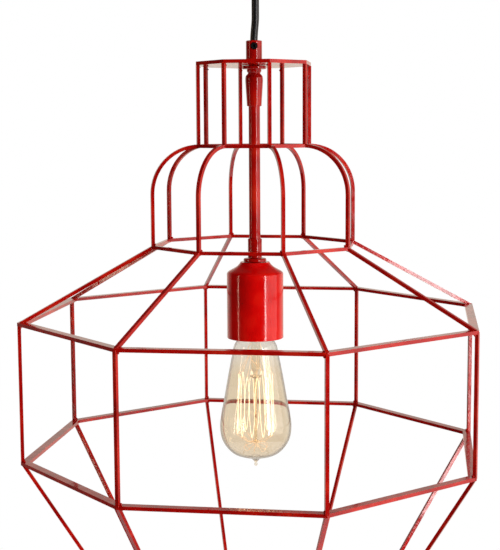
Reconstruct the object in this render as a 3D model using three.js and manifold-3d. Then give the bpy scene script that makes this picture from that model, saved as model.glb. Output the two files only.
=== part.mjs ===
// A caged pendant lamp: an octagonal cage of steel bar hangs on a cord from a ceiling rose,
// and holds a screw-in bulb in a cup on a stem.
// Millimetres, +Z up. The origin is the middle of the rose bracket's top face, on the ceiling.
// Heights below are counted from the middle of the bell ring, and hang() lowers them to the ceiling.

import * as THREE from "three";
import { mergeVertices } from "three/addons/utils/BufferGeometryUtils.js";
import Module from "manifold-3d";

// Clearance between pieces that touch
const GAP = 0.3;

// Cage: an octagon with a flat side to the front, its corners at these radii and heights
const SIDES = 8;
const CORNER_STEP = (2 * Math.PI) / SIDES;
const FIRST_CORNER = CORNER_STEP / 2;
const BAR = 3;
const CROWN = { radius: 50, height: 86.6 };
const BELL = { radius: 91, height: 0 };
const UPPER = { radius: 207, height: -62.3, width: 7 };
const LOWER = { radius: 207, height: -183.3, width: 7 };
const BOTTOM = { radius: 93, height: -371 };
const BELL_CURVE = BELL.radius - CROWN.radius;
const PLATE = { underside: 155.8, top: 158.9, hole: 5 };

// How far a ring's section reaches from its middle, along a corner's radius and upwards
const RING_REACH = BAR / 2 / Math.cos(FIRST_CORNER);
const RING_HALF = BAR / 2;

// Ceiling rose
const CEILING = 270;
const ROSE = { radius: 50, wall: 1.2, underside: 243, curve: 9 };
const BRACKET = { length: 93, width: 20, sheet: 2.5, ears: 17 };
const CEILING_SCREWS = { spacing: 60, radius: 2.3, slot: 9 };
const SIDE_SCREW = { height: 258, shank: 1.6, head: 3.6, thick: 2, length: 9 };
const GRIP = { bottom: 237, top: 252, neck: 5, flange: 8.5 };

// Cord: it swings from the grip on two crossed pivots, with a short stub between them
const CORD_RADIUS = 3.25;
const CORD_BORE = 3.65;
const SWING_GAP = 1.3;
const UPPER_PIVOT = GRIP.bottom - SWING_GAP;
const STUB_BOTTOM = 227;
const LOWER_PIVOT = STUB_BOTTOM - SWING_GAP;
const CORD_SIDES = 12;

// Collar, finial and stem
const COLLAR = { radius: 7, top: 177.2, bottom: PLATE.top + GAP, counterbore: 166.6 };
const CORD_END = COLLAR.counterbore + 1.6;
const GRUB = { radius: 2.9, height: 172.4, azimuth: 8, tip: 4, head: 6.5, key: 1.45, keyDepth: 1.5 };
const SPIGOT = { radius: 4.7, top: COLLAR.counterbore - GAP };
const FINIAL = { bottom: 120.9, socket: 138.7 };
const STEM = { radius: 5, bore: 3.8, top: FINIAL.socket - GAP, bottom: -26 };
const STEM_HOLE = STEM.radius + GAP;
const SLEEVE = { radius: 6.2, top: 5, bottom: -11.6 };
const NUT = { radius: 10.1, top: -11.9, bottom: -15.1 };

// Lamp holder
const CUP = { radius: 25, wall: 1.2, top: -15.4, shoulder: -26.2, rim: -83.1, neck: 12.8 };
const CORE = { radius: 17.5, upper: 15, neck: 10.5, bore: 15, chamber: 11 };
const CORE_HEIGHTS = { top: -17, neck: -28, ceiling: -31.5, floor: -39, base: -45, step: -41, bottom: -77.5 };
const RIVET = 2.4;

// Screw thread of the bulb and its holder, size E27
const THREAD_PITCH = 3.629;
const THREAD_SWING = 0.5;
const THREAD_SLACK = 0.45;
const THREAD_SIDES = 20;
const STEPS_PER_PITCH = 4;
const CAP = { thread: 12.7, skirt: 13.1, inner: 11.8, top: -54.3, from: -58, to: -73.3, rim: -77.5 };
const SHELL = { outer: 14.7, top: CORE_HEIGHTS.base - GAP, bottom: -72.8, eye: 5.7, sheet: 0.8 };
const CONTACT = { radius: 4.8, top: -51 };

// Bulb: a pear-shaped clear envelope, 64 mm at its widest
const GLASS = { wall: 0.8, neck: 11, neckTop: -62, widest: 32, widestHeight: -165, bottom: -192.7 };
const PIP = { radius: 1.6, waist: 1.2, tip: -200.4 };
const MOUNT = { flare: 10, tube: 4, rod: 1.3, top: -65.5, tubeEnd: -110, rodEnd: -177 };
const FILAMENT = { wire: 0.4, hairpins: 10, top: -113, bottom: -174, topRadius: 15, bottomRadius: 17 };

const wasm = await Module();
wasm.setup();

const paint = { color: 0xb80f12, roughness: 0.22, metalness: 0 };
const blackened = { color: 0x17171a, roughness: 0.45, metalness: 0.6 };
const cordSheath = { color: 0x0c0c0d, roughness: 0.3, metalness: 0 };
const zinc = { color: 0xb9bcc0, roughness: 0.35, metalness: 1 };
const brass = { color: 0xc9a24a, roughness: 0.3, metalness: 1 };
const ceramic = { color: 0xe9e6df, roughness: 0.4, metalness: 0 };
const clearGlass = { color: 0xf3e3c0, roughness: 0.05, metalness: 0, transparent: true, opacity: 0.35 };
const glowingWire = { color: 0xffb347, roughness: 0.5, metalness: 0, emissive: 0xff8a1e };

const lamp = new THREE.Group();
lamp.name = "pendant_lamp";

// Adds one named piece, its heights counted from the bell ring, and returns its mesh.
function hang(name, geometry, look) {
  const mesh = new THREE.Mesh(geometry, new THREE.MeshStandardMaterial(look));
  mesh.name = name;
  mesh.position.z = -CEILING;
  lamp.add(mesh);
  return mesh;
}

// Revolves a profile of [radius, height] points about Z. Its outer wall runs upwards.
function revolve(points, segments = 24, start = 0) {
  const profile = points.map(([radius, height]) => new THREE.Vector2(radius, height));
  const geometry = new THREE.LatheGeometry(profile, segments, start);
  return geometry.rotateX(Math.PI / 2);
}

// Revolves a profile that closes on itself.
function revolveLoop(points, segments = 24, start = 0) {
  return revolve([...points, points[0]], segments, start);
}

function tube(inner, outer, bottom, top) {
  return revolveLoop([[inner, bottom], [outer, bottom], [outer, top], [inner, top]]);
}

function toSolid(geometry) {
  geometry.deleteAttribute("normal");
  geometry.deleteAttribute("uv");
  const merged = mergeVertices(geometry);
  const vertProperties = new Float32Array(merged.attributes.position.array);
  const triVerts = new Uint32Array(merged.index.array);
  return new wasm.Manifold(new wasm.Mesh({ numProp: 3, vertProperties, triVerts }));
}

function toGeometry(solid) {
  const { vertProperties, triVerts } = solid.getMesh();
  const geometry = new THREE.BufferGeometry();
  geometry.setAttribute("position", new THREE.BufferAttribute(vertProperties, 3));
  geometry.setIndex(new THREE.BufferAttribute(triVerts, 1));
  return geometry;
}

function cut(geometry, cutters) {
  const body = cutters.reduce((rest, cutter) => rest.subtract(toSolid(cutter)), toSolid(geometry));
  return toGeometry(body);
}

// A cylinder along X, from one distance to another.
function rodAlongX(radius, from, to, height, sides = 20) {
  const rod = new THREE.CylinderGeometry(radius, radius, to - from, sides);
  rod.rotateZ(Math.PI / 2);
  return rod.translate((from + to) / 2, 0, height);
}

// ---- Cage ----

// How far a ring's section reaches inwards from the middle of its corners. A wide ring is flat bar,
// with its outer edge where a square one has it.
function inwardReach({ width = BAR }) {
  return width / Math.cos(FIRST_CORNER) - RING_REACH;
}

// A ring of eight mitred bars
function barRing(ring) {
  const { radius, height } = ring;
  const inner = radius - inwardReach(ring);
  const outer = radius + RING_REACH;
  const low = height - RING_HALF;
  const high = height + RING_HALF;
  return revolveLoop([[inner, low], [outer, low], [outer, high], [inner, high]], SIDES, FIRST_CORNER);
}

// How far a bar leaving a ring's middle along (run, rise) starts from it: clear of the ring's edge,
// or of its upper or lower face where that is nearer. Inside a ring the bar meets the two sides of
// the corner first, half its width away from the corner's middle.
function setBack(ring, run, rise) {
  const span = Math.hypot(run, rise);
  const inside = inwardReach(ring) + (BAR / 2) * Math.tan(FIRST_CORNER);
  const across = run < 0 ? inside : RING_REACH;
  const pastEdge = (across * Math.abs(run) + RING_HALF * Math.abs(rise)) / span + GAP;
  const pastFace = ((RING_HALF + GAP) * span + (BAR / 2) * Math.abs(run)) / Math.abs(rise);
  return Math.min(pastEdge, pastFace);
}

// A straight bar between two rings, in the plane of one corner
function straightBar(from, to) {
  const run = to.radius - from.radius;
  const rise = to.height - from.height;
  const span = Math.hypot(run, rise);
  const start = setBack(from, run, rise);
  const end = span - setBack(to, -run, -rise);
  const bar = new THREE.BoxGeometry(end - start, BAR, BAR);
  bar.translate((start + end) / 2, 0, 0);
  bar.rotateY(-Math.atan2(rise, run));
  return bar.translate(from.radius, 0, from.height);
}

// A bell rib: out from the crown ring, round a quarter circle and down to the bell ring
function bellBar() {
  const start = CROWN.radius + RING_REACH + GAP;
  const end = BELL.height + RING_HALF + GAP;
  const springing = CROWN.height - BELL_CURVE;
  const outline = new THREE.Shape();
  outline.moveTo(start, CROWN.height - BAR / 2);
  outline.absarc(CROWN.radius, springing, BELL_CURVE - BAR / 2, Math.PI / 2 - 0.05, 0, true);
  outline.lineTo(BELL.radius - BAR / 2, end);
  outline.lineTo(BELL.radius + BAR / 2, end);
  outline.absarc(CROWN.radius, springing, BELL_CURVE + BAR / 2, 0, Math.PI / 2 - 0.05, false);
  outline.lineTo(start, CROWN.height + BAR / 2);
  const bar = new THREE.ExtrudeGeometry(outline, { depth: BAR, curveSegments: 8, bevelEnabled: false });
  bar.translate(0, 0, -BAR / 2);
  return bar.rotateX(Math.PI / 2);
}

// The crown's ring with its eight posts, welded into one piece
function crownCage() {
  const height = PLATE.underside - GAP - CROWN.height;
  let cage = toSolid(barRing(CROWN));
  for (let corner = 0; corner < SIDES; corner += 1) {
    const post = new THREE.BoxGeometry(BAR, BAR, height);
    post.translate(CROWN.radius, 0, CROWN.height + height / 2);
    post.rotateZ(FIRST_CORNER + corner * CORNER_STEP);
    cage = cage.add(toSolid(post));
  }
  return toGeometry(cage);
}

function crownPlate() {
  const outline = new THREE.Shape();
  for (let corner = 0; corner < SIDES; corner += 1) {
    const angle = FIRST_CORNER + corner * CORNER_STEP;
    const reach = CROWN.radius + RING_REACH;
    const point = [reach * Math.cos(angle), reach * Math.sin(angle)];
    if (corner === 0) outline.moveTo(...point);
    else outline.lineTo(...point);
  }
  outline.closePath();
  outline.holes.push(new THREE.Path().absarc(0, 0, PLATE.hole, 0, 2 * Math.PI, true));
  const depth = PLATE.top - PLATE.underside;
  const plate = new THREE.ExtrudeGeometry(outline, { depth, curveSegments: 24, bevelEnabled: false });
  return plate.translate(0, 0, PLATE.underside);
}

function buildCage() {
  hang("crown_plate", crownPlate(), paint);
  hang("crown_cage", crownCage(), paint);
  hang("bell_ring", barRing(BELL), paint);
  hang("upper_ring", barRing(UPPER), paint);
  hang("lower_ring", barRing(LOWER), paint);
  hang("bottom_ring", barRing(BOTTOM), paint);
  const ribs = {
    bell_rib: bellBar,
    shoulder_rib: () => straightBar(BELL, UPPER),
    wall_post: () => straightBar(UPPER, LOWER),
    lower_rib: () => straightBar(LOWER, BOTTOM),
  };
  for (const [name, makeBar] of Object.entries(ribs)) {
    for (let corner = 0; corner < SIDES; corner += 1) {
      const bar = hang(`${name}_${corner + 1}`, makeBar(), paint);
      bar.rotation.z = FIRST_CORNER + corner * CORNER_STEP;
    }
  }
}

// ---- Ceiling rose ----

// Points round a quarter circle, from one angle to another
function arcPoints(radius, height, curve, from, to, steps = 5) {
  return Array.from({ length: steps + 1 }, (_, i) => {
    const angle = from + ((to - from) * i) / steps;
    return [radius + curve * Math.cos(angle), height + curve * Math.sin(angle)];
  });
}

function roseCup() {
  const { radius, wall, underside, curve } = ROSE;
  const hole = GRIP.neck + GAP;
  const centre = [radius - curve, underside + curve];
  const outside = arcPoints(...centre, curve, -Math.PI / 2, 0);
  const inside = arcPoints(...centre, curve - wall, 0, -Math.PI / 2);
  const rim = CEILING - GAP;
  const profile = [
    [hole, underside],
    ...outside,
    [radius, rim],
    [radius - wall, rim],
    ...inside,
    [hole, underside + wall],
  ];
  const screwHole = SIDE_SCREW.shank + GAP;
  const holes = [-1, 1].map((side) => {
    const reach = [side * (radius - 5), side * (radius + 5)].sort((a, b) => a - b);
    return rodAlongX(screwHole, ...reach, SIDE_SCREW.height);
  });
  return cut(revolveLoop(profile, 32), holes);
}

function roseBracket() {
  const { length, width, sheet, ears } = BRACKET;
  const half = length / 2;
  const outline = new THREE.Shape();
  outline.moveTo(-half, CEILING);
  outline.lineTo(-half, CEILING - ears);
  outline.lineTo(-half + sheet, CEILING - ears);
  outline.lineTo(-half + sheet, CEILING - sheet);
  outline.lineTo(half - sheet, CEILING - sheet);
  outline.lineTo(half - sheet, CEILING - ears);
  outline.lineTo(half, CEILING - ears);
  outline.lineTo(half, CEILING);
  outline.closePath();
  const strap = new THREE.ExtrudeGeometry(outline, { depth: width, bevelEnabled: false });
  strap.rotateX(Math.PI / 2).translate(0, width / 2, 0);
  const earHole = SIDE_SCREW.shank + GAP;
  const cutters = [rodAlongX(earHole, -half - 1, -half + 5, SIDE_SCREW.height)];
  cutters.push(rodAlongX(earHole, half - 5, half + 1, SIDE_SCREW.height));
  for (const side of [-1, 1]) {
    cutters.push(slot(side * CEILING_SCREWS.spacing / 2));
  }
  return cut(strap, cutters);
}

// A slot for a ceiling screw, long across the strap's length
function slot(x) {
  const { radius, slot: length } = CEILING_SCREWS;
  const straight = length / 2 - radius;
  const outline = new THREE.Shape();
  outline.absarc(straight, 0, radius, -Math.PI / 2, Math.PI / 2, false);
  outline.absarc(-straight, 0, radius, Math.PI / 2, (3 * Math.PI) / 2, false);
  outline.closePath();
  const depth = 4 * BRACKET.sheet;
  const cutter = new THREE.ExtrudeGeometry(outline, { depth, curveSegments: 8, bevelEnabled: false });
  return cutter.translate(x, 0, CEILING - depth / 2);
}

// A pan-headed screw along X that holds the rose cup to the bracket's ear
function sideScrew(side) {
  const { shank, head, thick, length, height } = SIDE_SCREW;
  const seat = ROSE.radius + GAP;
  const profile = [
    [0, seat - length],
    [shank, seat - length],
    [shank, seat],
    [head, seat],
    [head, seat + thick * 0.6],
    [head * 0.6, seat + thick],
    [0, seat + thick],
  ];
  const screw = revolve(profile, 16);
  screw.rotateY((side * Math.PI) / 2);
  return screw.translate(0, 0, height);
}

function roseGrip() {
  const { bottom, top, neck, flange } = GRIP;
  const seat = ROSE.underside - GAP;
  return revolveLoop([
    [CORD_BORE + 1, bottom],
    [flange - 2, bottom],
    [flange, bottom + 2],
    [flange, seat],
    [neck, seat],
    [neck, top],
    [CORD_BORE, top],
    [CORD_BORE, bottom + 1.5],
  ]);
}

function buildRose() {
  hang("ceiling_rose", roseCup(), paint);
  hang("rose_bracket", roseBracket(), zinc);
  hang("rose_screw_left", sideScrew(-1), blackened);
  hang("rose_screw_right", sideScrew(1), blackened);
  hang("rose_cord_grip", roseGrip(), paint);
}

// ---- Cord ----

function cordTube(top, bottom) {
  const section = new THREE.Shape();
  section.absarc(0, 0, CORD_RADIUS, 0, 2 * Math.PI, false);
  const route = new THREE.LineCurve3(new THREE.Vector3(0, 0, bottom), new THREE.Vector3(0, 0, top));
  const steps = Math.max(1, Math.round((top - bottom) / (5 * CORD_RADIUS)));
  const settings = { steps, extrudePath: route, curveSegments: CORD_SIDES / 2, bevelEnabled: false };
  return new THREE.ExtrudeGeometry(section, settings);
}

function buildCord() {
  hang("cord_top", cordTube(UPPER_PIVOT, STUB_BOTTOM), cordSheath);
  hang("cord", cordTube(LOWER_PIVOT, CORD_END), cordSheath);
}

// ---- Collar, finial and stem ----

function collar() {
  const { radius, top, bottom, counterbore } = COLLAR;
  const body = revolveLoop([
    [SPIGOT.radius + GAP, bottom],
    [radius, bottom],
    [radius, top - 0.8],
    [radius - 0.8, top],
    [CORD_BORE + 0.7, top],
    [CORD_BORE, top - 0.7],
    [CORD_BORE, counterbore],
    [SPIGOT.radius + GAP, counterbore],
  ]);
  const screwHole = rodAlongX(GRUB.radius + GAP, CORD_BORE - 2, radius + 2, GRUB.height, 24);
  screwHole.rotateZ(grubAngle());
  return cut(body, [screwHole]);
}

// The grub screw's direction from the axis, counted from +X
function grubAngle() {
  return THREE.MathUtils.degToRad(GRUB.azimuth - 90);
}

function grubScrew() {
  const { radius, tip, head, height, key, keyDepth } = GRUB;
  const body = rodAlongX(radius, tip, head, height, 24);
  const socket = rodAlongX(key, head - keyDepth, head + 1, height, 6);
  const screw = cut(body, [socket]);
  return screw.rotateZ(grubAngle());
}

// The turned finial: its spigot goes up through the plate, and the stem screws into its lower end
function finial() {
  const { bottom, socket } = FINIAL;
  const flangeTop = PLATE.underside - GAP;
  return revolveLoop([
    [STEM_HOLE, bottom],
    [5.9, bottom],
    [6.4, bottom + 0.7],
    [7, 131],
    [7.8, 143.6],
    [7.7, 145.6],
    [7, 147.2],
    [5.6, 148.6],
    [5, 149.5],
    [5.4, 150.1],
    [6.4, 150.8],
    [6.5, 151.8],
    [6.2, 152.6],
    [9.9, 152.8],
    [10.3, 153.3],
    [10.3, 155],
    [9.9, flangeTop],
    [SPIGOT.radius, flangeTop],
    [SPIGOT.radius, SPIGOT.top],
    [CORD_BORE, SPIGOT.top],
    [CORD_BORE, socket + 0.6],
    [STEM_HOLE, socket],
  ], 20);
}

function buildStem() {
  hang("cord_grip_collar", collar(), paint);
  hang("grub_screw", grubScrew(), blackened);
  hang("finial", finial(), paint);
  hang("stem_tube", tube(STEM.bore, STEM.radius, STEM.bottom, STEM.top), paint);
  hang("stem_sleeve", tube(STEM_HOLE, SLEEVE.radius, SLEEVE.bottom, SLEEVE.top), paint);
  const { radius, top, bottom } = NUT;
  const nut = [
    [STEM_HOLE, bottom],
    [radius - 0.4, bottom],
    [radius, bottom + 0.4],
    [radius, top - 0.6],
    [radius - 0.6, top],
    [STEM_HOLE, top],
  ];
  hang("holder_nut", revolveLoop(nut), paint);
}

// ---- Lamp holder ----

// The holder cup's outer shoulder, from the full radius up to the neck
function cupShoulder(inset) {
  const start = new THREE.Vector2(CUP.radius - inset, CUP.shoulder);
  const full = new THREE.Vector2(CUP.radius - inset, CUP.shoulder + 3.9 - inset);
  const waist = new THREE.Vector2(CUP.neck + 3.4, CUP.shoulder + 4 - inset);
  const end = new THREE.Vector2(CUP.neck, CUP.top - inset);
  const curve = new THREE.CubicBezierCurve(start, full, waist, end);
  return curve.getPoints(7).map((point) => [point.x, point.y]);
}

function holderCup() {
  const { radius, wall, rim, top } = CUP;
  const outside = cupShoulder(0);
  const inside = cupShoulder(wall).reverse();
  return revolveLoop([
    [radius - wall, rim],
    [radius, rim],
    ...outside,
    [STEM_HOLE, top],
    [STEM_HOLE, top - wall],
    ...inside,
  ], 28);
}

function holderCore() {
  const { radius, upper, neck, bore, chamber } = CORE;
  const { top, ceiling, floor, base, step, bottom } = CORE_HEIGHTS;
  return revolveLoop([
    [bore, bottom],
    [radius, bottom],
    [radius, step],
    [upper, step],
    [upper, CORE_HEIGHTS.neck],
    [neck, CORE_HEIGHTS.neck],
    [neck, top],
    [STEM_HOLE, top],
    [STEM_HOLE, ceiling],
    [chamber, ceiling],
    [chamber, floor],
    [RIVET + GAP, floor],
    [RIVET + GAP, base],
    [bore, base],
  ]);
}

// Heights evenly spaced along a threaded wall
function threadHeights(from, to) {
  const steps = Math.ceil((Math.abs(to - from) / THREAD_PITCH) * STEPS_PER_PITCH);
  return Array.from({ length: steps + 1 }, (_, i) => from + ((to - from) * i) / steps);
}

// Waves a plain wall at the given radius into a round right-hand thread.
function cutThread(geometry, wall) {
  const position = geometry.attributes.position;
  for (let i = 0; i < position.count; i += 1) {
    const point = new THREE.Vector3().fromBufferAttribute(position, i);
    const radius = Math.hypot(point.x, point.y);
    if (Math.abs(radius - wall) < 0.01) {
      const phase = (2 * Math.PI * point.z) / THREAD_PITCH - Math.atan2(point.y, point.x);
      const scale = 1 + (THREAD_SWING * Math.cos(phase)) / radius;
      position.setXY(i, point.x * scale, point.y * scale);
    }
  }
  return geometry;
}

function screwShell() {
  const { outer, top, bottom, eye, sheet } = SHELL;
  const wall = CAP.thread + THREAD_SLACK;
  const thread = threadHeights(top - sheet, bottom).map((height) => [wall, height]);
  const profile = [[outer, bottom], [outer, top], [eye, top], [eye, top - sheet], ...thread];
  return cutThread(revolveLoop(profile, THREAD_SIDES), wall);
}

function centreContact() {
  const seat = SHELL.top;
  const tip = CONTACT.top + 0.5;
  return revolve([
    [0, tip],
    [2.5, tip + 0.4],
    [3.6, tip + 2],
    [5.2, seat - 1.2],
    [5.2, seat],
    [RIVET, seat],
    [RIVET, CORE_HEIGHTS.floor + 1],
    [0, CORE_HEIGHTS.floor + 1],
  ], 24);
}

function buildHolder() {
  hang("holder_cup", holderCup(), paint);
  hang("holder_core", holderCore(), ceramic);
  hang("screw_shell", screwShell(), brass);
  hang("centre_contact", centreContact(), brass);
}

// ---- Bulb ----

function bulbCap() {
  const { thread, skirt, inner, top, from, to, rim } = CAP;
  const wave = threadHeights(to, from).map((height) => [thread, height]);
  const profile = [
    [0, top - 4],
    [inner - 2, top - 4],
    [inner, top - 6],
    [inner, rim],
    [skirt, rim],
    [skirt, to - GAP],
    ...wave,
    [10.2, top - 1.6],
    [6.5, top],
    [0, top],
  ];
  return cutThread(revolve(profile, THREAD_SIDES), thread);
}

function bulbContact() {
  const { radius, top } = CONTACT;
  const seat = CAP.top + GAP;
  return revolve([[0, seat], [radius, seat], [radius, top - 1.6], [radius - 1.6, top - 0.5], [0, top]], 24);
}

// The envelope's outside, from the bottom up to the neck
function envelope() {
  const { widest, widestHeight, bottom, neck, neckTop } = GLASS;
  const outline = new THREE.SplineCurve([
    new THREE.Vector2(6.5, bottom + 0.4),
    new THREE.Vector2(20.5, -187.6),
    new THREE.Vector2(29.5, -177),
    new THREE.Vector2(widest, widestHeight),
    new THREE.Vector2(30.9, -153),
    new THREE.Vector2(28.3, -139.4),
    new THREE.Vector2(24.3, -116.6),
    new THREE.Vector2(20.6, -98),
    new THREE.Vector2(18.9, -90),
    new THREE.Vector2(14.4, -82.6),
  ]);
  const wall = outline.getPoints(13).map((point) => [point.x, point.y]);
  return [...wall, [neck + 0.2, CAP.rim - GAP], [neck, CAP.rim + 1], [neck, neckTop]];
}

function bulbGlass() {
  const outside = envelope();
  const wall = GLASS.wall;
  const inside = outside.map(([radius, height], i) => {
    const before = outside[Math.max(i - 1, 0)];
    const after = outside[Math.min(i + 1, outside.length - 1)];
    const run = after[0] - before[0];
    const rise = after[1] - before[1];
    const span = Math.hypot(run, rise);
    return [radius - (wall * rise) / span, height + (wall * run) / span];
  });
  const mouth = inside[inside.length - 1];
  mouth[1] = GLASS.neckTop;
  const profile = [
    [0, PIP.tip],
    [PIP.radius * 0.8, PIP.tip + 0.6],
    [PIP.radius, PIP.tip + 1.6],
    [PIP.waist, PIP.tip + 3.1],
    [2.4, PIP.tip + 5.2],
    [4.4, PIP.tip + 6.9],
    ...outside,
    ...inside.reverse(),
    [0, GLASS.bottom + 1],
  ];
  return revolve(profile, 26);
}

function bulbMount() {
  const { flare, tube: stem, rod, top, tubeEnd, rodEnd } = MOUNT;
  return revolve([
    [0, rodEnd - 1.5],
    [1.8, rodEnd - 1],
    [2.2, rodEnd + 0.5],
    [rod, rodEnd + 2],
    [rod, tubeEnd - 6],
    [stem * 0.7, tubeEnd - 2],
    [stem, tubeEnd],
    [stem, top - 10],
    [stem + 1, top - 6],
    [flare, top - 1],
    [flare, top],
    [0, top],
  ], 14);
}

// The wire of a squirrel-cage filament: it zigzags between two heights on its way round the mount
class SquirrelCage extends THREE.Curve {
  getPoint(t) {
    const { hairpins, top, bottom, topRadius, bottomRadius } = FILAMENT;
    const turn = t * 0.955 * 2 * Math.PI;
    const zigzag = 0.5 + Math.asin(0.985 * Math.sin(t * hairpins * 2 * Math.PI)) / Math.PI;
    const radius = bottomRadius + (topRadius - bottomRadius) * zigzag;
    const height = bottom + (top - bottom) * zigzag;
    return new THREE.Vector3(radius * Math.cos(turn), radius * Math.sin(turn), height);
  }
}

function filament() {
  const section = new THREE.Shape();
  section.absarc(0, 0, FILAMENT.wire, 0, 2 * Math.PI, false);
  const route = new SquirrelCage();
  route.arcLengthDivisions = 2000;
  const settings = { steps: 120, extrudePath: route, curveSegments: 2, bevelEnabled: false };
  return new THREE.ExtrudeGeometry(section, settings);
}

function buildBulb() {
  hang("bulb_contact", bulbContact(), zinc);
  hang("bulb_cap", bulbCap(), zinc);
  hang("bulb_glass", bulbGlass(), clearGlass);
  hang("bulb_mount", bulbMount(), clearGlass);
  hang("filament", filament(), glowingWire);
}

buildRose();
buildCord();
buildStem();
buildCage();
buildHolder();
buildBulb();

export default lamp;
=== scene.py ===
import math
import random

import bmesh
import bpy
from mathutils import Matrix, Vector, noise


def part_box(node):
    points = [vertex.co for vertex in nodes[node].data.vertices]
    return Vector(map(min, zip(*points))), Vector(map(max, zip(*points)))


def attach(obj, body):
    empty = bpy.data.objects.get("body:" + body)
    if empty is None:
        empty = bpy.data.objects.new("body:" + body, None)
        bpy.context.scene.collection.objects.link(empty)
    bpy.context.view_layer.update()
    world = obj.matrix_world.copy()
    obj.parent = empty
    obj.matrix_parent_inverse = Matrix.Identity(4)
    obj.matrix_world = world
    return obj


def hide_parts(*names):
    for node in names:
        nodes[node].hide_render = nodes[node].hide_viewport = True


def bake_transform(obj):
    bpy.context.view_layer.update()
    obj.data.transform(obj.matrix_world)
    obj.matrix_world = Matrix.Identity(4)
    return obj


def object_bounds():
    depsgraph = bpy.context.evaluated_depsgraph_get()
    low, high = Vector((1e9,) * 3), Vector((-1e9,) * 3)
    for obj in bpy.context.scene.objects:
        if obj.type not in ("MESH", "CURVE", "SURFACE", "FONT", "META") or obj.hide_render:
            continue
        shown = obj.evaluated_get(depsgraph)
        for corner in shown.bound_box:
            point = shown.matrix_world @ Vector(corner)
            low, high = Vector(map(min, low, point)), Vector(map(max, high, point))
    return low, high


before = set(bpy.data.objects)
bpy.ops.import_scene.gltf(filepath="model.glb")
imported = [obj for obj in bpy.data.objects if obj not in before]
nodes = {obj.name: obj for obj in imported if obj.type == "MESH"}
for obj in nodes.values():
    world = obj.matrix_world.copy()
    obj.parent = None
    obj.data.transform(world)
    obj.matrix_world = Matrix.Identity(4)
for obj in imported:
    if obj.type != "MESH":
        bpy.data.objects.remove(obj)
cad_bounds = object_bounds()
scene = bpy.context.scene

# Heights are in millimetres from the middle of the bell ring, as in the CAD source, and the frame's
# origin is on the ceiling.
MM = 0.001
CEILING = 270
BAR = 3
SIDES = 8
CORNER_STEP = 2 * math.pi / SIDES
FIRST_CORNER = CORNER_STEP / 2


def lift(height):
    """A height from the bell ring, in millimetres, as a height in the frame, in metres."""
    return (height - CEILING) * MM


# ---- Camera ----

# The distance is in metres from the lamp's axis, and the height in millimetres from the bell ring.
CAMERA_DISTANCE = 1.087
CAMERA_HEIGHT = 99.6
CAMERA_AZIMUTH = math.radians(7.9)
CAMERA_PITCH = math.radians(6.655)
CAMERA_YAW = math.radians(0.236)
CAMERA_ROLL = math.radians(-0.3)
CAMERA_LENS = 80.87


def make_camera():
    data = bpy.data.cameras.new("camera")
    data.lens = CAMERA_LENS
    data.sensor_width = 36
    data.clip_end = 50
    camera = bpy.data.objects.new("camera", data)
    scene.collection.objects.link(camera)
    across = math.sin(CAMERA_AZIMUTH) * CAMERA_DISTANCE
    back = -math.cos(CAMERA_AZIMUTH) * CAMERA_DISTANCE
    place = Matrix.Translation((across, back, lift(CAMERA_HEIGHT)))
    turn = Matrix.Rotation(CAMERA_AZIMUTH + CAMERA_YAW, 4, "Z")
    tilt = Matrix.Rotation(math.pi / 2 - CAMERA_PITCH, 4, "X")
    roll = Matrix.Rotation(CAMERA_ROLL, 4, "Z")
    camera.matrix_world = place @ turn @ tilt @ roll
    scene.camera = camera


make_camera()


# ---- Mesh helpers ----

def finish_mesh(name, mesh, body, material, replaced=(), sharp=35):
    """Puts a mesh in the scene as one piece of the object."""
    mesh.validate()
    mesh.shade_smooth()
    mesh.set_sharp_from_angle(angle=math.radians(sharp))
    mesh.materials.append(material)
    piece = bpy.data.objects.new(name, mesh)
    scene.collection.objects.link(piece)
    if body:
        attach(piece, body)
    if replaced:
        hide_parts(*replaced)
    return piece


def mesh_from(name, builder):
    bmesh.ops.recalc_face_normals(builder, faces=builder.faces)
    mesh = bpy.data.meshes.new(name)
    builder.to_mesh(mesh)
    builder.free()
    return mesh


def lathe(name, profile, segments=96, wave=None):
    """Revolves (radius, height) points in millimetres about Z. A point on the axis is one vertex, and
    a profile whose ends are off the axis closes on itself. wave(i, angle) adds to point i's radius."""
    builder = bmesh.new()
    rows = []
    for i, (radius, height) in enumerate(profile):
        if radius < 1e-6:
            rows.append([builder.verts.new((0, 0, lift(height)))])
            continue
        row = []
        for s in range(segments):
            angle = 2 * math.pi * s / segments
            reach = (radius + (wave(i, angle) if wave else 0)) * MM
            row.append(builder.verts.new((reach * math.cos(angle), reach * math.sin(angle), lift(height))))
        rows.append(row)
    pairs = list(zip(rows, rows[1:]))
    if len(rows[0]) > 1:
        pairs.append((rows[-1], rows[0]))
    for low, high in pairs:
        for s in range(segments):
            t = (s + 1) % segments
            corners = [low[s % len(low)], low[t % len(low)], high[t % len(high)], high[s % len(high)]]
            unique = list(dict.fromkeys(corners))
            if len(unique) > 2:
                builder.faces.new(unique)
    return mesh_from(name, builder)


def evenly(start, end, steps):
    return [start + (end - start) * k / steps for k in range(steps + 1)]


def rounded(corners, steps=4):
    """A profile from (radius, height, fillet) corners, each with its own fillet in millimetres."""
    points = []
    count = len(corners)
    closed = corners[0][0] > 1e-6
    for i, (radius, height, fillet) in enumerate(corners):
        here = Vector((radius, height))
        ends = not closed and i in (0, count - 1)
        if fillet <= 0 or ends:
            points.append((radius, height))
            continue
        before = Vector(corners[i - 1][:2]) - here
        after = Vector(corners[(i + 1) % count][:2]) - here
        cut = min(fillet, before.length * 0.49, after.length * 0.49)
        start = here + before.normalized() * cut
        end = here + after.normalized() * cut
        for k in range(steps + 1):
            t = k / steps
            point = start * (1 - t) ** 2 + here * 2 * t * (1 - t) + end * t ** 2
            points.append((point.x, point.y))
    return points


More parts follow.
